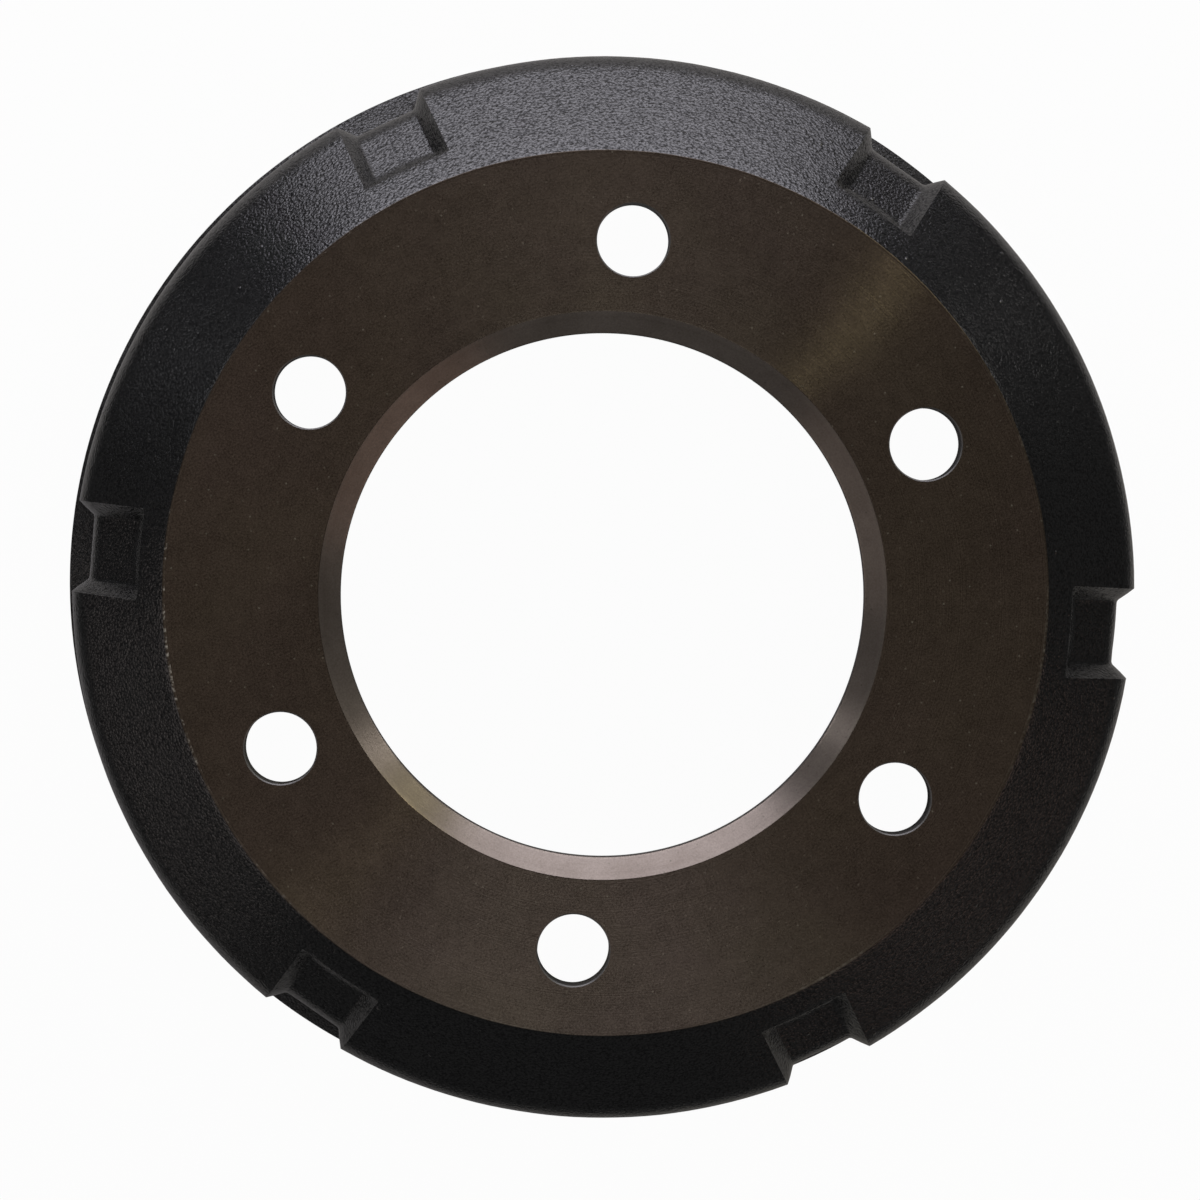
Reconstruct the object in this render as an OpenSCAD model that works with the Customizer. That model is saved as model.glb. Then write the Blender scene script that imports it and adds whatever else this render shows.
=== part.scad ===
// Brake drum for a light truck: one grey iron casting, turned on its flange, pilot bore and braking surface.
// Z = 0 is the hub seat, the machined inner face of the flange. +Z points out of the closed end.

/* [Mounting flange] */
// Diameter of the pilot bore that centres the drum on the hub
bore_d = 164; // [150:1:168]
// Radial width of the lead-in cone at the mouth of the pilot bore
mouth_w = 6.75; // [3:0.25:8]
// Thickness of the machined flange
flange_t = 10; // [9:0.5:13]
// Diameter of the machined outer face
face_d = 276.2; // [268:0.2:282]
// Pitch circle of the bolt holes
bolt_pcd = 222.25; // [216:0.05:228]
// Number of bolt holes, and of the recesses between them
bolt_count = 6; // [4:1:6]
// Diameter of a bolt hole
bolt_hole_d = 22.5; // [18:0.5:26]

/* [Cast shell] */
// Overall height, from the open end to the outer face
overall_h = 136; // [128:1:142]
// Angle between the sloping shoulder and the axis
slope_angle = 43.7; // [40:0.1:46]
// Thickness of the sloping shoulder
slope_t = 12; // [11:0.5:14]
// Radius of the rounded shoulder corner
shoulder_round = 20; // [17:0.5:22]
// Outer diameter of the wall just below the shoulder
wall_d = 341.4; // [338:0.2:345]

/* [Open end] */
// Diameter of the braking surface
friction_d = 310; // [306:1:312]
// Width of the braking surface, with its lead-in
friction_w = 88; // [80:1:90]
// Outer diameter of the stiffening band
band_d = 355.6; // [352:0.2:362]
// Height of the straight side of the band
band_h = 21.5; // [16:0.5:24]

/* [Recesses] */
// Width of a recess at the cast skin, across its two end walls
recess_w = 29.6; // [26:0.2:33]
// Depth of a recess below the cast skin round it
recess_depth = 5.8; // [3:0.1:6.4]
// Distance from the axis to the inner end of a recess
recess_start = 146.6; // [143:0.1:150]
// Slant of the end walls, away from the direction of the depth
recess_slant = 32; // [20:1:38]
// Radius of the cove between the floor and an end wall
recess_cove = 3.5; // [2:0.25:4]

/* [Hidden] */
$fn = 144;
bore_r = bore_d / 2;
face_r = face_d / 2;
wall_r = wall_d / 2;
band_r = band_d / 2;
friction_r = friction_d / 2;
open_z = flange_t - overall_h;
band_top_z = open_z + band_h;

// Depth of the lead-in cone, and the broken edges of the bore and the bolt holes
mouth_h = 5;
bore_break = 0.6;
hole_break = 0.4;
// The wall leans out towards the band, so that the pattern draws from the mould
wall_draft = 1.1;
band_bevel = 1.5;
foot_round = 5;
// Rounding between the hub seat and the slope inside
seat_round = 6;
// Cast corner above the braking surface, which the boring tool leaves standing
corner_inset = 3;
corner_round = 12;
step_bevel = 1.5;
// Lead-in at the open end
lip_w = 2.5;
lip_h = 5;
// Concave rounding at the inner end of a recess
recess_end_round = 12;
// Straight cuts that carry the floor of a recess round the shoulder, after the first one down the wall
corner_cuts = 4;
// How far the cutter of a recess stands out of the cast skin, and how far it runs up the slope
skin_clear = 12;
slope_reach = 45;
// How far cutters reach past what they cut
over = 1;
// Rounding arcs are drawn this much past their straights, so that they cross them and don't just touch
touch = 0.02;

// Outward normals of the slope and of the wall, in the radial plane
normal = [cos(slope_angle), sin(slope_angle)];
wall_normal = [cos(wall_draft), sin(wall_draft)];
// Centre of the shoulder corner, which touches the slope and the wall
shoulder_r = wall_r - shoulder_round;
shoulder = [shoulder_r, slope_z(shoulder_r, shoulder_round)];

// Height at radius r of a line parallel to the slope and sunk by d
function slope_z(r, d) = flange_t - (d + (r - face_r) * normal[0]) / normal[1];

// Sharp corner outside an arc between two angles
function sharp(centre, radius, from, to) =
    centre + radius / cos((to - from) / 2) * [cos((from + to) / 2), sin((from + to) / 2)];

// What turning a sharp corner down to that arc takes away
module corner_waste(centre, radius, from, to) {
    reach = radius + over;
    difference() {
        polygon([
            centre,
            centre + reach * [cos(from), sin(from)],
            sharp(centre, radius + 2 * over, from, to),
            centre + reach * [cos(to), sin(to)]
        ]);
        translate(centre) circle(r = radius + touch);
    }
}

// Turned and cast outline, solid to the axis, from the outer face to the middle of the band.
// A fillet blends the wall into the 45 degree bevel of the band
module shell_outline() {
    foot_z = band_top_z - band_h / 2;
    wall_top = shoulder + shoulder_round * wall_normal;
    bevel_sum = band_r + band_top_z;
    fillet_r = (foot_round + wall_top[0] * wall_normal[0]
        - (bevel_sum + foot_round * sqrt(2) - wall_top[1]) * wall_normal[1]) / (wall_normal[0] - wall_normal[1]);
    fillet = [fillet_r, bevel_sum + foot_round * sqrt(2) - fillet_r];
    difference() {
        polygon([
            [0, flange_t],
            [face_r, flange_t],
            sharp(shoulder, shoulder_round, wall_draft, slope_angle),
            fillet - foot_round * wall_normal,
            fillet,
            fillet - (foot_round + over) * [cos(45), sin(45)],
            [friction_r, foot_z],
            [0, foot_z]
        ]);
        corner_waste(shoulder, shoulder_round, wall_draft, slope_angle);
        translate(fillet) circle(r = foot_round + touch);
    }
}

// Stiffening band with its bevel, solid to the axis. The bevel runs on inwards as the foot of each recess
module band_outline() {
    reach = band_r - friction_r;
    polygon([
        [0, band_top_z + reach],
        [friction_r, band_top_z + reach],
        [band_r, band_top_z],
        [band_r, open_z + band_bevel],
        [band_r - band_bevel, open_z],
        [0, open_z]
    ]);
}

// Space inside the drum: hub seat, slope, cast corner, braking surface and lead-in
module cavity_outline() {
    seat = [face_r + (flange_t * normal[1] - seat_round * (1 - normal[1]) - slope_t) / normal[0], -seat_round];
    corner_r = friction_r - corner_inset;
    corner = [corner_r - corner_round, slope_z(corner_r - corner_round, slope_t + corner_round)];
    step_z = open_z + friction_w;
    difference() {
        polygon([
            [0, 0],
            sharp(seat, seat_round, slope_angle, 90),
            sharp(corner, corner_round, 0, slope_angle),
            [corner_r, step_z],
            [friction_r - step_bevel, step_z],
            [friction_r, step_z - step_bevel],
            [friction_r, open_z + lip_h],
            [friction_r + lip_w, open_z + lip_h - lip_w],
            [friction_r + lip_w, open_z - over],
            [0, open_z - over]
        ]);
        corner_waste(seat, seat_round, slope_angle, 90);
        corner_waste(corner, corner_round, 0, slope_angle);
    }
}

// Pilot bore with its wide lead-in cone and a broken edge on the hub side
module bore_outline() {
    mouth_r = bore_r + mouth_w;
    polygon([
        [0, -over],
        [bore_r + bore_break + over, -over],
        [bore_r, bore_break],
        [bore_r, flange_t - mouth_h],
        [mouth_r, flange_t],
        [mouth_r, flange_t + over],
        [0, flange_t + over]
    ]);
}

// Bolt hole with a broken edge on the outer face, centred on the Z axis
module bolt_hole() {
    hole_r = bolt_hole_d / 2;
    break_h = 2 * hole_break;
    translate([0, 0, -over]) cylinder(r = hole_r, h = flange_t + 2 * over);
    translate([0, 0, flange_t - hole_break]) cylinder(r1 = hole_r, r2 = hole_r + break_h, h = break_h);
}

// Cross-section of a recess, with the floor on the x axis, slanting end walls and coves between them
module recess_section() {
    rise = recess_depth + skin_clear;
    lean = tan(recess_slant);
    cove_reach = recess_cove * tan(45 - recess_slant / 2);
    foot = recess_w / 2 - recess_depth * lean;
    flat = foot - cove_reach;
    wall_start = [foot + cove_reach * sin(recess_slant), cove_reach * cos(recess_slant)];
    wall_end = [foot + rise * lean, rise];
    polygon([
        [-flat, 0],
        [flat, 0],
        wall_start,
        wall_end,
        [-wall_end[0], rise],
        [-wall_start[0], wall_start[1]]
    ]);
    for (side = [-1, 1]) translate([side * flat, recess_cove]) circle(r = recess_cove);
}

// A recess on the +X side. Its floor keeps one depth below the wall, the rounded corner and the slope:
// straight cuts in turn, each touching the same circle round the centre of the corner
module recess() {
    down = shoulder[1] - open_z;
    difference() {
        for (i = [0 : corner_cuts])
            translate([shoulder[0], 0, shoulder[1]]) rotate([0, -slope_angle * i / corner_cuts, 0])
                translate([shoulder_round - recess_depth, 0, -down]) rotate(-90)
                    linear_extrude(down + slope_reach) recess_section();
        rotate([90, 0, 0]) linear_extrude(2 * recess_w, center = true) recess_end_outline();
    }
}

// What stays solid beyond the inner end of a recess, in the radial plane:
// a steep step that rounds into the floor
module recess_end_outline() {
    end = recess_end_round;
    centre = [recess_start + end, slope_z(recess_start + end, recess_depth + touch - end)];
    low_z = centre[1] - 2 * end;
    high_z = flange_t + slope_reach;
    translate([0, low_z]) square([recess_start, high_z - low_z]);
    difference() {
        polygon([
            [recess_start - over, centre[1]],
            centre,
            centre - (end + over) * normal,
            [recess_start - over, low_z]
        ]);
        translate(centre) circle(r = end);
    }
}

module drum() {
    color([0.16, 0.16, 0.17])
    difference() {
        union() {
            difference() {
                rotate_extrude() shell_outline();
                for (i = [0 : bolt_count - 1]) rotate((i + 0.5) * 360 / bolt_count) recess();
            }
            rotate_extrude() band_outline();
        }
        rotate_extrude() cavity_outline();
        rotate_extrude() bore_outline();
        for (i = [0 : bolt_count - 1]) rotate(i * 360 / bolt_count) translate([bolt_pcd / 2, 0, 0]) bolt_hole();
    }
}

drum();
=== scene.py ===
import math
import bpy
from mathutils import Matrix, Vector


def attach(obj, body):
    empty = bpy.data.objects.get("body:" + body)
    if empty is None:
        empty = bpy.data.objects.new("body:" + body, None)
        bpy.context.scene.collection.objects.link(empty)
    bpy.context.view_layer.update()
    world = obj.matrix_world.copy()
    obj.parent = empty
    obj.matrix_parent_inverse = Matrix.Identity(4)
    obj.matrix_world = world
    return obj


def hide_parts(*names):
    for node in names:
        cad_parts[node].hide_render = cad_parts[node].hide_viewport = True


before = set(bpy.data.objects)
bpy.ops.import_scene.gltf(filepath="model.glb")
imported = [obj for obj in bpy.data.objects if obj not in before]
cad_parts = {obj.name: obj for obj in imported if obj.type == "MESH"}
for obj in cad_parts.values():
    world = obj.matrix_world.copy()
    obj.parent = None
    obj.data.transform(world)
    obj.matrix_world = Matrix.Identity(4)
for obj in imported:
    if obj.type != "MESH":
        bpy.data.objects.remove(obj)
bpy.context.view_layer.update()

# The drum casting: one piece of grey iron, cast with its six recesses and its band, then turned on
# the outer face, the bore, the hub seat and the braking surface, drilled for six wheel bolts, and
# painted black where the cast skin is left.
mm = 0.001
bore_radius = 82.0 * mm
bore_break = 0.6 * mm
mouth_radius = 88.75 * mm
mouth_depth = 5.0 * mm
face_height = 10.0 * mm
face_radius = 138.1 * mm
open_end = -126.0 * mm
slope_angle = math.radians(43.7)
slope_thickness = 12.0 * mm
shoulder_rounding = 20.0 * mm
wall_radius = 170.7 * mm
wall_draft = math.radians(1.1)
foot_rounding = 5.0 * mm
band_radius = 177.55 * mm
band_top = -104.5 * mm
band_break = 1.5 * mm
braking_radius = 155.0 * mm
braking_top = -38.0 * mm
braking_break = 1.5 * mm
lip_radius = 157.5 * mm
lip_straight = 2.5 * mm
lip_depth = 5.0 * mm
cast_corner_radius = 152.0 * mm
cast_corner_rounding = 12.0 * mm
seat_rounding = 6.0 * mm

recess_count = 6
recess_depth = 5.8 * mm
recess_floor_half = 9.3 * mm
recess_cove = 1.8 * mm
recess_wall_angle = math.radians(51)
recess_edge = 1.0 * mm
recess_start = 146.6 * mm
recess_end_rounding = 12.0 * mm
recess_floor_wall = 164.9 * mm

bolt_count = 6
bolt_circle_radius = 111.125 * mm
bolt_hole_radius = 11.25 * mm
hole_break = 0.4 * mm

# the cast outside sits off the turned centre, and its skin is uneven by this much
casting_shift = 1.64 * mm
skin_unevenness = 0.16 * mm
skin_lumps_per_metre = 55.0

slope_out = math.cos(slope_angle)
slope_up = math.sin(slope_angle)


def slope_height(radius, sunk=0.0):
    # height of the slope, or of a line under it, at a radius
    return face_height - (sunk + (radius - face_radius) * slope_out) / slope_up


def meet(point_a, way_a, point_b, way_b):
    # where two straights of the section meet
    (ax, az), (ux, uz), (bx, bz), (vx, vz) = point_a, way_a, point_b, way_b
    share = ((bx - ax) * vz - (bz - az) * vx) / (ux * vz - uz * vx)
    return ax + share * ux, az + share * uz


slope_way = (slope_up, -slope_out)
wall_way = (math.sin(wall_draft), -math.cos(wall_draft))
bevel_way = (math.cos(math.radians(45)), -math.sin(math.radians(45)))
shoulder_centre_radius = wall_radius - shoulder_rounding
shoulder_centre = (shoulder_centre_radius, slope_height(shoulder_centre_radius, shoulder_rounding))
wall_point = (shoulder_centre[0] + shoulder_rounding * math.cos(wall_draft),
              shoulder_centre[1] + shoulder_rounding * math.sin(wall_draft))
shoulder_corner = meet((face_radius, face_height), slope_way, wall_point, wall_way)
foot_corner = meet(wall_point, wall_way, (band_radius, band_top), bevel_way)
cast_corner = (cast_corner_radius, slope_height(cast_corner_radius, slope_thickness))
seat_corner = (face_radius + (face_height * slope_up - slope_thickness) / slope_out, 0.0)

(painted, turned_face, turned_edge, turned_mouth,
 turned_bore, hub_seat, braking, drilled) = range(8)

# each corner of the section: its place, rounding, rows round it and their finish,
# then the rows to the next corner and their finish
section_corners = [
    ((mouth_radius, face_height), 0.3 * mm, 3, turned_face, 12, turned_face),
    ((face_radius, face_height), 0.45 * mm, 3, turned_edge, 0, painted),
    (shoulder_corner, shoulder_rounding, 14, painted, 22, painted),
    (foot_corner, foot_rounding, 6, painted, 5, painted),
    ((band_radius, band_top), 0.5 * mm, 4, painted, 7, painted),
    ((band_radius, open_end + band_break), 0.5 * mm, 2, painted, 1, painted),
    ((band_radius - band_break, open_end), 0.4 * mm, 2, painted, 5, braking),
    ((lip_radius, open_end), 0.3 * mm, 3, braking, 1, braking),
    ((lip_radius, open_end + lip_straight), 0.2 * mm, 2, braking, 1, braking),
    ((braking_radius, open_end + lip_depth), 0.4 * mm, 2, braking, 7, braking),
    ((braking_radius, braking_top - braking_break), 0.2 * mm, 2, braking, 1, braking),
    ((braking_radius - braking_break, braking_top), 0.2 * mm, 2, braking, 1, braking),
    ((cast_corner_radius, braking_top), 0.4 * mm, 2, painted, 1, painted),
    (cast_corner, cast_corner_rounding, 8, painted, 10, painted),
    (seat_corner, seat_rounding, 6, painted, 10, hub_seat),
    ((bore_radius + bore_break, 0.0), 0.2 * mm, 2, turned_bore, 1, turned_bore),
    ((bore_radius, bore_break), 0.2 * mm, 2, turned_bore, 3, turned_bore),
    ((bore_radius, face_height - mouth_depth), 0.4 * mm, 3, turned_mouth, 5, turned_mouth),
]
face_side, slope_side, shoulder_side, foot_side, band_side = range(5)

# the inner end of a recess, measured along the slope from the top of its step
step_rise = recess_depth - recess_end_rounding * (1 - math.cos(slope_angle))
step_run = step_rise / math.tan(slope_angle)
floor_run = step_run + recess_end_rounding * math.sin(slope_angle)


def step_depth(run):
    # how deep the step and its rounding are at a distance along the slope
    rounded = run + recess_edge * math.tan(slope_angle / 2)
    if rounded <= 0:
        return 0.0
    if rounded < recess_edge * math.sin(slope_angle):
        return recess_edge - math.sqrt(recess_edge ** 2 - rounded ** 2)
    if run < step_run:
        return run * math.tan(slope_angle)
    if run < floor_run:
        rise = math.sqrt(recess_end_rounding ** 2 - (run - floor_run) ** 2)
        return recess_depth - recess_end_rounding + rise
    return recess_depth


def between(first, last, count):
    # places spread evenly between two others
    return [first + (last - first) * (i + 1) / (count + 1) for i in range(count)]


def slope_rows(length):
    # rows on the slope, close together where the step of a recess turns
    start = (recess_start - face_radius) / slope_up
    edge_run = recess_edge * math.sin(slope_angle)
    wide_to, close_from = -0.9 * mm, -0.7 * mm
    runs = between(-start, wide_to, 4) + between(close_from, edge_run, 6)
    runs += between(edge_run, step_run, 3) + [step_run]
    runs += between(step_run, floor_run, 9) + [floor_run] + between(floor_run, length - start, 8)
    return [start + run for run in runs]


def turn_between(way_in, way_out):
    # signed turn from one straight of the section to the next
    return math.atan2(way_in.x * way_out.y - way_in.y * way_out.x, way_in.dot(way_out))


# the section as rows of points: round each corner, then along the straight to the next one,
# where the first and last rows stay close to the corners and keep their roundings crisp
close_row = 0.5 * mm
rows = []
for i, (place, rounding, turns, turn_finish, steps, finish) in enumerate(section_corners):
    after_place, after_rounding = section_corners[(i + 1) % len(section_corners)][:2]
    before, corner, after = Vector(section_corners[i - 1][0]), Vector(place), Vector(after_place)
    later = Vector(section_corners[(i + 2) % len(section_corners)][0])
    way_in, way_out = (corner - before).normalized(), (after - corner).normalized()
    turn = turn_between(way_in, way_out)
    side = -1 if turn > 0 else 1
    reach = rounding * math.tan(abs(turn) / 2)
    normal_in = Vector((-way_in.y, way_in.x))
    centre = corner - way_in * reach - side * rounding * normal_in
    for j in range(turns + 1):
        normal = normal_in.copy()
        normal.rotate(Matrix.Rotation(turn * j / turns, 2))
        row_finish = turn_finish if j < turns else finish
        rows.append((centre + side * rounding * normal, normal, row_finish, i))
    start = corner + way_out * reach
    after_turn = turn_between(way_out, (later - after).normalized())
    end = after - way_out * after_rounding * math.tan(abs(after_turn) / 2)
    length = (end - start).length
    normal_out = Vector((-way_out.y, way_out.x))
    if steps:
        hold = min(close_row, length / 4)
        runs = [hold] + between(hold, length - hold, steps) + [length - hold]
    else:
        runs = slope_rows(length)
    for run in runs:
        at_edge = i == face_side and run == runs[-1]
        rows.append((start + way_out * run, normal_out, turned_edge if at_edge else finish, i))

section = bpy.data.meshes.new("drum_section")
section.from_pydata([(spot.x, 0.0, spot.y) for spot, normal, finish, corner in rows], [], [])
for name in ("row_normal", "row_recess", "row_cast"):
    section.attributes.new(name, "FLOAT_VECTOR", "POINT")
section.attributes.new("row_finish", "INT", "POINT")

# what the tree needs to know of each row: where it faces, how a recess cuts it, how much of the
# casting's shift and unevenness it shows, and its finish
margin = 1.0 * mm
straight_over = 5.0 * mm
shift_at_face_edge = 0.7
band_unevenness = 0.3
rim_height = 3.0 * mm
for i, (spot, normal, finish, corner) in enumerate(rows):
    radius, height = spot
    full, limit, straight, shifted = 0.0, 0.0, 0.0, 0.0
    facing = normal
    on_slope = corner == slope_side and finish == painted
    on_wall = ((corner == shoulder_side and height < shoulder_centre[1] + margin)
               or corner == foot_side)
    on_face = corner == face_side and finish in (turned_face, turned_edge)
    if on_slope or corner == shoulder_side:
        straight = min(1.0, max(0.0, (radius - face_radius - margin) / straight_over))
        full, limit = recess_depth, recess_depth
    if on_slope:
        limit = step_depth((radius - recess_start) / slope_up)
    if on_wall:
        facing = Vector((1.0, 0.0))
        full = max(0.0, radius - recess_floor_wall)
        limit = max(0.0, radius - (band_radius + band_top - height))
    if corner in (slope_side, shoulder_side, foot_side) or on_face:
        outwards = (radius - face_radius) / (wall_radius - face_radius)
        shifted = shift_at_face_edge + (1.0 - shift_at_face_edge) * outwards
        if radius < face_radius:
            shifted = shift_at_face_edge * (radius - mouth_radius) / (face_radius - mouth_radius)
        shifted *= min(1.0, max(0.0, (height - band_top) / (shoulder_centre[1] - band_top)))
    cast = 1.0 if finish == painted else 0.0
    push_out, push_up = normal.x * cast, normal.y * cast
    if corner == slope_side and finish != painted:
        push_out, push_up = 1 / slope_out, 0.0
    if corner == band_side or (corner == foot_side and height < band_top + margin):
        push_out, push_up = band_unevenness * push_out, 0.0
    if radius > braking_radius and height < open_end + rim_height:
        push_out, push_up = 0.0, 0.0
    section.attributes["row_normal"].data[i].vector = (facing.x, facing.y, straight)
    section.attributes["row_recess"].data[i].vector = (full, limit, shifted)
    section.attributes["row_cast"].data[i].vector = (push_out, push_up, 0.0)
    section.attributes["row_finish"].data[i].value = finish

drum = bpy.data.objects.new("drum_casting", section)
bpy.context.scene.collection.objects.link(drum)


def feed(tree, slot, value):
    # set a socket to a plain value, or link it to a value of the tree
    if isinstance(value, Amount):
        value = value.socket
    if isinstance(value, bpy.types.NodeSocket):
        tree.links.new(value, slot)
    else:
        slot.default_value = value


class Amount:
    # a value in the tree being built, so that a rule can be written as a sum
    tree = None

    def __init__(self, socket):
        self.socket = socket

    def work(self, operation, *others):
        node = Amount.tree.nodes.new("ShaderNodeMath")
        node.operation = operation
        for slot, value in zip(node.inputs, (self, *others)):
            feed(Amount.tree, slot, value)
        return Amount(node.outputs[0])

    def __add__(self, other): return self.work("ADD", other)
    def __sub__(self, other): return self.work("SUBTRACT", other)
    def __mul__(self, other): return self.work("MULTIPLY", other)
    def __truediv__(self, other): return self.work("DIVIDE", other)
    def __rsub__(self, other): return (self * -1.0) + other
    def __rtruediv__(self, other): return self.work("POWER", -1.0) * other
    def __mod__(self, other): return self.work("FLOORED_MODULO", other)
    __radd__ = __add__
    __rmul__ = __mul__
    def floor(self): return self.work("FLOOR")
    def sin(self): return self.work("SINE")
    def cos(self): return self.work("COSINE")
    def root(self): return self.work("SQRT")
    def least(self, other): return self.work("MINIMUM", other)
    def most(self, other): return self.work("MAXIMUM", other)
    def share(self): return self.most(0.0).least(1.0)


def node_of(tree, kind, links=(), **settings):
    # a node with its settings, its inputs set or linked
    node = tree.nodes.new(kind)
    for name, value in settings.items():
        setattr(node, name, value)
    for name, value in dict(links).items():
        feed(tree, node.inputs[name], value)
    return node


def parts(tree, vector):
    # the x, y and z of a vector in a tree
    split = node_of(tree, "ShaderNodeSeparateXYZ", {0: vector})
    return [Amount(output) for output in split.outputs]


turning = bpy.data.node_groups.new("turn_and_cast_drum", "GeometryNodeTree")
Amount.tree = turning
for way in ("OUTPUT", "INPUT"):
    turning.interface.new_socket("Geometry", in_out=way, socket_type="NodeSocketGeometry")
drum_sizes = {
    "Recesses": recess_count, "Rows": len(rows),
    "Floor steps": 4, "Cove steps": 6, "Wall steps": 2, "Edge steps": 4, "Between steps": 16,
    "Floor half width": recess_floor_half, "Cove radius": recess_cove,
    "Wall angle": recess_wall_angle, "Edge radius": recess_edge, "Recess depth": recess_depth,
    "Casting shift X": casting_shift, "Casting shift Y": 0.0,
    "Bolt holes": bolt_count, "Bolt circle radius": bolt_circle_radius,
    "Bolt hole radius": bolt_hole_radius, "Hole edge break": hole_break,
    "Flange thickness": face_height,
    "Skin height": skin_unevenness, "Skin lumps per metre": skin_lumps_per_metre, "Seed": 7,
}
for name, value in drum_sizes.items():
    kind = "NodeSocketInt" if isinstance(value, int) else "NodeSocketFloat"
    turning.interface.new_socket(name, in_out="INPUT", socket_type=kind)
given = turning.nodes.new("NodeGroupInput")
size = {name: Amount(given.outputs[name]) for name in drum_sizes}

# a grid of rows and columns, numbered, that is laid on the section turned round the axis. The
# nudge keeps a whole number from being rounded down
half_steps = (size["Floor steps"] + size["Cove steps"] + size["Wall steps"] + size["Edge steps"]
              + size["Between steps"])
column_count = size["Recesses"] * half_steps * 2.0
grid = node_of(turning, "GeometryNodeMeshGrid",
               {"Vertices X": column_count + 1.0, "Vertices Y": size["Rows"] + 1.0})
number = Amount(node_of(turning, "GeometryNodeInputIndex").outputs[0])
nudge = 0.00001
column = (number / (size["Rows"] + 1.0) + nudge).floor()
row = (number - column * (size["Rows"] + 1.0)) % size["Rows"]


def row_value(kind, value, at):
    # a value of the section's rows, taken at a row number
    return node_of(turning, "GeometryNodeSampleIndex",
                   {"Geometry": given.outputs["Geometry"], "Value": value, "Index": at},
                   data_type=kind, clamp=True).outputs[0]


def named(kind, name):
    return node_of(turning, "GeometryNodeInputNamedAttribute", {"Name": name},
                   data_type=kind).outputs[0]


def row_parts(value):
    return parts(turning, row_value("FLOAT_VECTOR", value, row))


section_place = node_of(turning, "GeometryNodeInputPosition").outputs[0]
radius, height = row_parts(section_place)[::2]
facing_out, facing_up, straight = row_parts(named("FLOAT_VECTOR", "row_normal"))
full_depth, depth_limit, shifted = row_parts(named("FLOAT_VECTOR", "row_recess"))
push_out, push_up = row_parts(named("FLOAT_VECTOR", "row_cast"))[:2]

# across a recess: flat floor, cove, slanting wall, rounded edge, and the skin on to half way to
# the next one
sector = (column / (half_steps * 2.0) + nudge).floor()
signed = column - sector * half_steps * 2.0 - half_steps
side_of = signed.work("SIGN")
steps_out = signed.work("ABSOLUTE")
done = []
for zone in ("Floor steps", "Cove steps", "Wall steps", "Edge steps", "Between steps"):
    done.append((steps_out / size[zone]).share())
    steps_out = steps_out - size[zone]
on_floor, on_cove, on_wall, on_edge, on_skin = done
wall_angle = size["Wall angle"]
cove_turn = wall_angle * on_cove
left_turn = wall_angle * (1.0 - on_edge)
wall_fall = (size["Recess depth"]
             - (size["Cove radius"] + size["Edge radius"]) * (1.0 - wall_angle.cos()))
wall_run = wall_fall * wall_angle.cos() / wall_angle.sin()
across = (size["Floor half width"] * on_floor + size["Cove radius"] * cove_turn.sin()
          + wall_run * on_wall + size["Edge radius"] * (wall_angle.sin() - left_turn.sin()))
cut_depth = (size["Recess depth"] - size["Cove radius"] * (1.0 - cove_turn.cos())
             - wall_fall * on_wall - size["Edge radius"] * (left_turn.cos() - wall_angle.cos()))
cut_share = cut_depth / size["Recess depth"]

# rows run straight across a recess and in a circle between the recesses
bow = across * (1.0 - on_skin)
bow = bow * bow / (radius * 2.0)
skin_radius = radius + straight * facing_up * facing_up * bow
skin_height = height - straight * facing_up * facing_out * bow
half_angle = math.pi / size["Recesses"]
angle = (across / skin_radius).work("ARCSINE") * (1.0 - on_skin) + half_angle * on_skin
angle = angle * side_of
drop = across * across * facing_out / (radius * 2.0)
depth = (cut_share * full_depth - drop).least(depth_limit).most(0.0)
along = skin_radius * angle.cos() - depth * facing_out
sideways = skin_radius * angle.sin()
upwards = skin_height - depth * facing_up

# unevenness of the cast skin, which also moves the edge of the turned face
sector_angle = half_angle * (sector * 2.0 + 1.0)
flat_x = (along * sector_angle.cos() - sideways * sector_angle.sin()
          + shifted * size["Casting shift X"])
flat_y = (along * sector_angle.sin() + sideways * sector_angle.cos()
          + shifted * size["Casting shift Y"])
spot = node_of(turning, "ShaderNodeCombineXYZ", {0: flat_x, 1: flat_y, 2: upwards}).outputs[0]
lumps = node_of(turning, "ShaderNodeTexNoise",
                {"Vector": spot, "W": size["Seed"], "Scale": size["Skin lumps per metre"],
                 "Detail": 3.0, "Roughness": 0.55}, noise_dimensions="4D")
uneven = (Amount(lumps.outputs[0]) - 0.5) * size["Skin height"] * 2.0
outer = (flat_x * flat_x + flat_y * flat_y).root()
grow = (outer + push_out * uneven) / outer
final = node_of(turning, "ShaderNodeCombineXYZ",
                {0: flat_x * grow, 1: flat_y * grow, 2: upwards + push_up * uneven})
laid = node_of(turning, "GeometryNodeSetPosition",
               {"Geometry": grid.outputs[0], "Position": final.outputs[0]})
face_number = Amount(node_of(turning, "GeometryNodeInputIndex").outputs[0])
face_finish = row_value("INT", named("INT", "row_finish"), face_number % size["Rows"])
finish_store = node_of(turning, "GeometryNodeStoreNamedAttribute",
                       {"Geometry": laid.outputs[0], "Name": "finish", "Value": face_finish},
                       data_type="INT", domain="FACE")
weld_distance = 0.002 * mm
closed = node_of(turning, "GeometryNodeMergeByDistance",
                 {"Geometry": finish_store.outputs[0], "Distance": weld_distance})

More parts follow.
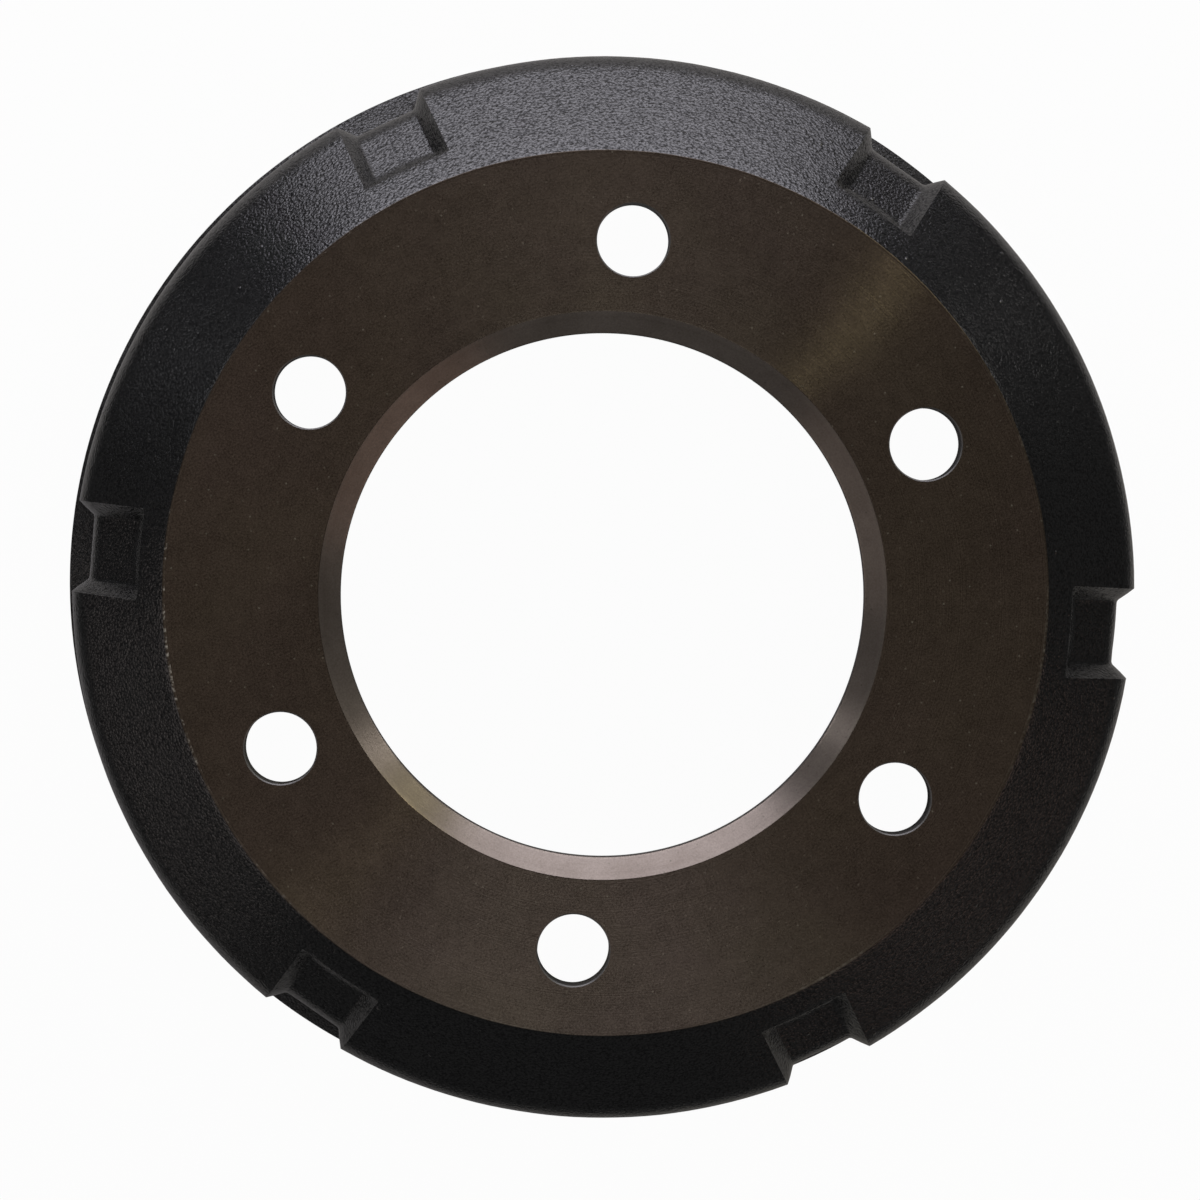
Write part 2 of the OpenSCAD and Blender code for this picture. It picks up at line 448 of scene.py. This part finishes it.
# one drill with a broken edge, set round the bolt circle and taken out of the casting. It
# reaches through the flange and a fifth of it more
drill_sides = 72
drill_reach = 1.2
drill = node_of(turning, "GeometryNodeMeshCylinder",
                {"Vertices": drill_sides, "Side Segments": 2, "Radius": 1.0, "Depth": 2.0},
                fill_type="NGON")
drill_x, drill_y, drill_z = parts(
    turning, node_of(turning, "GeometryNodeInputPosition").outputs[0])
at_top = (drill_z - 0.5).work("GREATER_THAN", 0.0)
at_bottom = (drill_z + 0.5).work("LESS_THAN", 0.0)
drill_radius = size["Bolt hole radius"] + at_top * size["Hole edge break"] * 2.0
drill_height = (size["Flange thickness"] + size["Hole edge break"] * (at_top * 2.0 - 1.0)
                - at_bottom * size["Flange thickness"] * drill_reach)
drill_spot = node_of(turning, "ShaderNodeCombineXYZ",
                     {0: drill_x * drill_radius, 1: drill_y * drill_radius, 2: drill_height})
drill_laid = node_of(turning, "GeometryNodeSetPosition",
                     {"Geometry": drill.outputs[0], "Position": drill_spot.outputs[0]})
drill_finish = node_of(turning, "GeometryNodeStoreNamedAttribute",
                       {"Geometry": drill_laid.outputs[0], "Name": "finish", "Value": drilled},
                       data_type="INT", domain="FACE")
bolt_circle = node_of(turning, "GeometryNodeMeshCircle",
                      {"Vertices": size["Bolt holes"], "Radius": size["Bolt circle radius"]})
drills = node_of(turning, "GeometryNodeInstanceOnPoints",
                 {"Points": bolt_circle.outputs[0], "Instance": drill_finish.outputs[0]})
drills_real = node_of(turning, "GeometryNodeRealizeInstances", {"Geometry": drills.outputs[0]})
bored = node_of(turning, "GeometryNodeMeshBoolean",
                {"Mesh 1": closed.outputs[0], "Mesh 2": drills_real.outputs[0]},
                operation="DIFFERENCE", solver="EXACT")
crease_angle = math.radians(32)
edge_angle = Amount(node_of(turning, "GeometryNodeInputMeshEdgeAngle").outputs[0])
smooth = node_of(turning, "GeometryNodeSetShadeSmooth",
                 {"Geometry": bored.outputs[0], "Shade Smooth": True}, domain="FACE")
creased = node_of(turning, "GeometryNodeSetShadeSmooth",
                  {"Geometry": smooth.outputs[0],
                   "Shade Smooth": edge_angle.work("LESS_THAN", crease_angle)}, domain="EDGE")
whole = node_of(turning, "GeometryNodeRealizeInstances",
                {"Geometry": creased.outputs[0]}).outputs[0]


def material(name):
    # a new material, its tree, its shader and the place on the piece
    made = bpy.data.materials.new(name)
    made.use_nodes = True
    tree = made.node_tree
    Amount.tree = tree
    place = node_of(tree, "ShaderNodeTexCoord").outputs["Object"]
    return made, tree, tree.nodes["Principled BSDF"], place


def blend(tree, factor, first, second):
    # a colour between two others
    return node_of(tree, "ShaderNodeMix", {0: factor, 6: first, 7: second},
                   data_type="RGBA").outputs[2]


def ramp(value, low, high):
    # 0 below one level of a value, 1 above another
    return ((value - low) / (high - low)).share()


def noise(tree, place, per_metre, detail=3.0, rough=0.55):
    # soft random waves, so many to the metre
    return Amount(node_of(tree, "ShaderNodeTexNoise",
                          {"Vector": place, "Scale": per_metre, "Detail": detail,
                           "Roughness": rough}).outputs[0])


def cells(tree, place, per_metre):
    # random cells, so many to the metre
    return node_of(tree, "ShaderNodeTexVoronoi", {"Vector": place, "Scale": per_metre},
                   feature="F1")


def to_centre(cell):
    # distance from the centre of a cell, in cells
    return Amount(cell.outputs["Distance"])


def chance(tree, cell):
    # one random number for each cell
    colour = node_of(tree, "ShaderNodeSeparateColor", {0: cell.outputs["Color"]})
    return Amount(colour.outputs[0])


def bump(tree, height, distance, normal=None):
    # fine relief on top of the normal given
    links = {"Height": height, "Distance": distance, "Strength": 1.0}
    if normal is not None:
        links["Normal"] = normal
    return node_of(tree, "ShaderNodeBump", links).outputs[0]


# black paint, sprayed thin over the sand grain of the cast skin, with a few pimples and pits
thick_black, thin_black = (0.0026, 0.0026, 0.0028, 1.0), (0.0046, 0.0046, 0.0048, 1.0)
sand_relief, peel_relief, grain_relief, pimple_relief = 0.10 * mm, 0.08 * mm, 0.10 * mm, 0.22 * mm
paint_roughness, patch_roughness = 0.20, 0.08
paint_gloss, hollow_gloss, pit_dulling = 0.17, 0.66, 0.9
paint, tree, shader, place = material("black_paint_on_cast_skin")
sand = noise(tree, place, 1450.0, detail=2.0, rough=0.5)
peel = noise(tree, place, 210.0, detail=2.0, rough=0.5)
patch = noise(tree, place, 40.0, detail=4.0, rough=0.6)
grain = to_centre(cells(tree, place, 1000.0))
hollow = ramp(sand + grain * -0.30, 0.20, 0.48)
pimple = cells(tree, place, 260.0)
pimple_on = ramp(to_centre(pimple) * -1.0, -0.20, -0.05)
pimple_here = ramp(chance(tree, pimple), 0.88, 0.92)
pit = cells(tree, place, 75.0)
pit_on = ramp(to_centre(pit) + noise(tree, place, 900.0) * 0.06, 0.04, 0.09)
pit_here = ramp(chance(tree, pit), 0.90, 0.94)
pits = pit_here * (1.0 - pit_on)
feed(tree, shader.inputs["Base Color"], blend(tree, patch, thick_black, thin_black))
feed(tree, shader.inputs["Roughness"], paint_roughness + patch * patch_roughness)
gloss = (paint_gloss + hollow * hollow_gloss) * (1.0 - pits * pit_dulling)
feed(tree, shader.inputs["Specular IOR Level"], gloss)
skin = bump(tree, sand, sand_relief, bump(tree, peel, peel_relief))
skin = bump(tree, grain * grain * -1.0, grain_relief, skin)
skin = bump(tree, pimple_on * pimple_here - pits, pimple_relief, skin)
feed(tree, shader.inputs["Normal"], skin)


def tool_rings(tree, across_rings, per_metre):
    # uneven rings that a turning tool leaves
    return Amount(node_of(tree, "ShaderNodeTexNoise",
                          {"W": across_rings, "Scale": per_metre, "Detail": 3.0},
                          noise_dimensions="1D").outputs[0])


def turned_film(name, dark, light, tint, roughness, bare, drawn_out, grooves, chips_and_highlight_share):
    # turned iron under a brown film of rust oil, with the rings that the tool left. bare is how
    # much the metal shows, drawn_out how far the rings stretch a gleam, grooves their depth
    made, tree, shader, place = material(name)
    x, y = parts(tree, place)[:2]
    from_axis = (x * x + y * y).root()
    rings = tool_rings(tree, from_axis, 2600.0)
    wide_rings = tool_rings(tree, from_axis, 260.0)
    cloud = noise(tree, place, 30.0, detail=6.0, rough=0.65)
    green = noise(tree, place, 14.0, rough=0.6)
    fine = noise(tree, place, 1700.0, detail=2.0, rough=0.5)
    mottle = noise(tree, place, 260.0, rough=0.6)
    speck = cells(tree, place, 620.0)
    speck_on = ramp(to_centre(speck) * -1.0, -0.26, -0.06) * ramp(chance(tree, speck), 0.88, 1.0)
    # light flecks on the edge, mostly on one side: partly bare spots where the film chipped, partly
    # a painted highlight where the edge catches the light
    flecked_side_x, flecked_side_y = -0.766, 0.643
    chips_and_painted_highlight = noise(tree, place, 760.0, rough=0.6) * 0.6 + green * 0.7
    chips_and_painted_highlight = ramp(chips_and_painted_highlight, 0.70, 0.80) * chips_and_highlight_share
    toward_flecked_side = ramp((x * flecked_side_x + y * flecked_side_y) / from_axis, 0.35, 0.85)
    chips_and_painted_highlight = chips_and_painted_highlight * (0.15 + 0.85 * toward_flecked_side)
    film = blend(tree, ramp(cloud * 0.75 + wide_rings * 0.25, 0.32, 0.68), dark, light)
    worn_film, speck_colour = (0.034, 0.028, 0.021, 1.0), (0.075, 0.070, 0.056, 1.0)
    # a light grey for the edge flecks, partly chips and partly painted highlight
    chip_and_highlight_colour = (0.20, 0.19, 0.17, 1.0)
    worn = ramp(fine * 0.8 + mottle * 0.2, 0.36, 0.72) * 0.34
    film = blend(tree, worn, film, worn_film)
    film = blend(tree, speck_on, film, speck_colour)
    # the light edge flecks go on the film: chips and painted highlight
    film = blend(tree, chips_and_painted_highlight, film, chip_and_highlight_colour)
    feed(tree, shader.inputs["Base Color"], film)
    greener = (tint[0] * 0.97, tint[1] * 1.02, tint[2] * 0.92, 1.0)
    feed(tree, shader.inputs["Specular Tint"],
         blend(tree, ramp(green, 0.35, 0.65), tint, greener))
    shader.inputs["Metallic"].default_value = bare
    feed(tree, shader.inputs["Roughness"], roughness + rings * 0.03 + cloud * 0.03)
    gloss = 0.26 + ramp(fine * 0.6 + mottle * 0.2 + cloud * 0.2, 0.34, 0.66) * 0.48
    feed(tree, shader.inputs["Specular IOR Level"], gloss)
    shader.inputs["Anisotropic"].default_value = drawn_out
    shader.inputs["Anisotropic Rotation"].default_value = 0.25
    tangent = node_of(tree, "ShaderNodeTangent", direction_type="RADIAL", axis="Z")
    feed(tree, shader.inputs["Tangent"], tangent.outputs[0])
    fine_relief = 0.005 * mm
    relief = bump(tree, fine, fine_relief, bump(tree, rings, grooves))
    feed(tree, shader.inputs["Normal"], relief)
    return made


face_brown = {"dark": (0.0060, 0.0041, 0.0028, 1.0), "light": (0.0105, 0.0074, 0.0052, 1.0),
              "tint": (1.0, 0.80, 0.66, 1.0)}
face_film = turned_film("turned_face_brown_film", **face_brown, roughness=0.20, bare=0.0,
                        drawn_out=1.0, grooves=0.05 * mm, chips_and_highlight_share=0.0)
# the edge of the face carries the light flecks: chips in the film and a painted highlight
edge_film = turned_film("turned_edge_film_chips_and_painted_highlight", **face_brown, roughness=0.30, bare=0.0,
                        drawn_out=0.3, grooves=0.03 * mm, chips_and_highlight_share=1.0)
mouth_film = turned_film("turned_mouth_brown_film",
                         dark=(0.155, 0.130, 0.112, 1.0), light=(0.232, 0.200, 0.176, 1.0),
                         tint=(1.0, 0.90, 0.82, 1.0), roughness=0.26, bare=0.8,
                         drawn_out=0.5, grooves=0.02 * mm, chips_and_highlight_share=0.0)


def bare_iron(name, dark, light, roughness):
    # turned or drilled iron with nothing on it, clouded by handling
    made, tree, shader, place = material(name)
    x, y, z = parts(tree, place)
    from_axis = (x * x + y * y).root()
    rings = tool_rings(tree, from_axis + z, 2500.0)
    cloud = noise(tree, place, 45.0, detail=5.0, rough=0.6)
    groove_depth = 0.012 * mm
    feed(tree, shader.inputs["Base Color"],
         blend(tree, ramp(cloud * 0.7 + rings * 0.3, 0.3, 0.7), dark, light))
    shader.inputs["Metallic"].default_value = 0.7
    feed(tree, shader.inputs["Roughness"], roughness + rings * 0.12)
    feed(tree, shader.inputs["Normal"], bump(tree, rings, groove_depth))
    return made


bore_iron = bare_iron("turned_bore_iron",
                      (0.16, 0.15, 0.145, 1.0), (0.26, 0.25, 0.24, 1.0), 0.32)
seat_iron = bare_iron("hub_seat_iron",
                      (0.13, 0.125, 0.12, 1.0), (0.22, 0.215, 0.21, 1.0), 0.35)
braking_iron = bare_iron("braking_surface_iron",
                         (0.17, 0.165, 0.16, 1.0), (0.27, 0.265, 0.26, 1.0), 0.30)
hole_iron = bare_iron("drilled_hole_iron",
                      (0.09, 0.088, 0.085, 1.0), (0.16, 0.155, 0.15, 1.0), 0.40)

# the tree ends with a finish for each surface
Amount.tree = turning
finish_of = Amount(named("INT", "finish"))
finishes = {painted: paint, turned_face: face_film, turned_edge: edge_film,
            turned_mouth: mouth_film, turned_bore: bore_iron, hub_seat: seat_iron,
            braking: braking_iron, drilled: hole_iron}
for code, made in finishes.items():
    here = finish_of.work("COMPARE", float(code), 0.5)
    whole = node_of(turning, "GeometryNodeSetMaterial",
                    {"Geometry": whole, "Selection": here, "Material": made}).outputs[0]
result = turning.nodes.new("NodeGroupOutput")
turning.links.new(whole, result.inputs["Geometry"])

shaping = drum.modifiers.new("turn_and_cast", "NODES")
shaping.node_group = turning
for item in turning.interface.items_tree:
    if item.in_out == "INPUT" and item.name in drum_sizes:
        shaping[item.identifier] = drum_sizes[item.name]
evaluated = drum.evaluated_get(bpy.context.evaluated_depsgraph_get())
finished = bpy.data.meshes.new_from_object(evaluated)
drum.modifiers.remove(shaping)
drum.data = finished
bpy.data.meshes.remove(section)
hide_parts("drum")
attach(drum, "root")

# Camera, above the drum and almost square to its face, with a long lens. Its place, lens and turn
# were fitted to the edges of the face, the bore and the holes.
face_target = Vector((-1.409 * mm, -0.650 * mm, face_height))
eye = Vector((-8.55 * mm, 56.48 * mm, face_height + 1300.0 * mm))
image_width = 1200
focal_pixels = 4176.4
sensor_width = 36.0
roll = math.radians(-25.2)
looking = (face_target - eye).normalized()
level_right = looking.cross(Vector((0.0, 1.0, 0.0))).normalized()
level_up = level_right.cross(looking)
right = level_right * math.cos(roll) + level_up * math.sin(roll)
up = level_up * math.cos(roll) - level_right * math.sin(roll)
camera_data = bpy.data.cameras.new("camera")
camera_data.sensor_width = sensor_width
camera_data.lens = sensor_width * focal_pixels / image_width
camera = bpy.data.objects.new("camera", camera_data)
turned = Matrix((right, up, -looking)).transposed().to_4x4()
camera.matrix_world = Matrix.Translation(eye) @ turned
bpy.context.scene.collection.objects.link(camera)
bpy.context.scene.camera = camera

# Floor: a narrow pale bench top that the open end stands on. It reaches on to the key light, and
# stops near the drum on the other sides, where the black paint shows a dark room.
picture_top = math.radians(64.8)
to_top = Vector((math.cos(picture_top), math.sin(picture_top), 0.0))
to_left = Vector((-to_top.y, to_top.x, 0.0))
bench_half, bench_reach = 0.27, 0.90
bench_corners = ((-bench_half, -bench_half), (bench_reach, -bench_half),
                 (bench_reach, bench_half), (-bench_half, bench_half))
floor_mesh = bpy.data.meshes.new("floor")
floor_mesh.from_pydata([along * to_top + aside * to_left + Vector((0.0, 0.0, open_end))
                        for along, aside in bench_corners], [], [(0, 1, 2, 3)])
floor = bpy.data.objects.new("floor", floor_mesh)
bpy.context.scene.collection.objects.link(floor)
floor_paint = bpy.data.materials.new("pale_floor")
floor_paint.use_nodes = True
tree = floor_paint.node_tree
Amount.tree = tree
pale = tree.nodes["Principled BSDF"]
pale.inputs["Base Color"].default_value = (0.38, 0.37, 0.36, 1.0)
pale.inputs["Roughness"].default_value = 0.8
pale.inputs["Specular IOR Level"].default_value = 0.1


def seen_directly(path):
    # 1 where the camera sees a thing itself, straight or through another
    return Amount(path.outputs["Is Camera Ray"]).most(Amount(path.outputs["Is Transmission Ray"]))


shadow_seen = 0.03
white = node_of(tree, "ShaderNodeEmission", {"Color": (1.0, 1.0, 1.0, 1.0), "Strength": 1.0})
white_share = seen_directly(node_of(tree, "ShaderNodeLightPath")) * (1.0 - shadow_seen)
mixed = node_of(tree, "ShaderNodeMixShader",
                {0: white_share, 1: pale.outputs[0], 2: white.outputs[0]})
tree.links.new(mixed.outputs[0], tree.nodes["Material Output"].inputs["Surface"])
floor_mesh.materials.append(floor_paint)


# Soft studio light: a long low panel beyond the top of the picture, others overhead, high in front
# and at both sides, a narrow warm lamp that draws the glint on the face, two narrow ones low at the
# sides, and a dim room round them.
def panel(name, turn, rise, distance, width, height, radiance, tint):
    # a lamp panel that faces the drum, by its turn from the top of the picture and its rise
    data = bpy.data.lights.new(name, "AREA")
    data.shape = "RECTANGLE"
    data.size = width
    data.size_y = height
    data.energy = radiance * math.pi * width * height
    data.color = tint
    lamp = bpy.data.objects.new(name, data)
    way = Matrix.Rotation(math.radians(turn), 3, "Z") @ to_top
    way = way * math.cos(math.radians(rise)) + Vector((0.0, 0.0, math.sin(math.radians(rise))))
    lamp.location = way * distance
    lamp.rotation_euler = way.to_track_quat("Z", "Y").to_euler()
    bpy.context.scene.collection.objects.link(lamp)


# name, turn, rise, distance, width, height, radiance, tint
panel("key", 2.5, 13.86, 0.7725, 1.12, 0.62, 3.65, (0.925, 0.905, 1.0))
panel("front", 178.0, 60.0, 2.5, 1.17, 1.05, 2.63, (0.92, 0.945, 1.0))
panel("overhead", 110.0, 83.0, 2.5, 1.4, 1.4, 0.67, (1.0, 0.87, 0.85))
panel("left_fill", 112.0, 8.0, 2.5, 2.05, 0.65, 1.06, (1.0, 0.87, 0.82))
panel("right_fill", -128.0, 8.0, 2.5, 2.3, 0.65, 0.92, (1.0, 0.66, 0.54))
panel("warm_spark", -46.0, 42.0, 2.5, 0.04, 0.6, 150.0, (1.0, 0.95, 0.62))
panel("right_spark", -58.0, 13.0, 2.5, 0.16, 0.8, 6.5, (1.0, 0.96, 0.95))
panel("left_spark", 62.0, 13.0, 2.5, 0.16, 0.8, 5.5, (0.96, 0.96, 1.0))

# the room is white to the camera, dim on the drum and dimmer still in what the drum mirrors
room_light, room_mirrored = 0.30, 0.07
world = bpy.data.worlds.new("room")
bpy.context.scene.world = world
world.use_nodes = True
tree = world.node_tree
Amount.tree = tree
room = tree.nodes["Background"]
room.inputs["Color"].default_value = (1.0, 1.0, 1.0, 1.0)
path = node_of(tree, "ShaderNodeLightPath")
mirrored = Amount(path.outputs["Is Glossy Ray"])
strength = (room_light + seen_directly(path) * (1.0 - room_light)
            - mirrored * (room_light - room_mirrored))
feed(tree, room.inputs["Strength"], strength)

bpy.context.scene.view_settings.view_transform = "Standard"
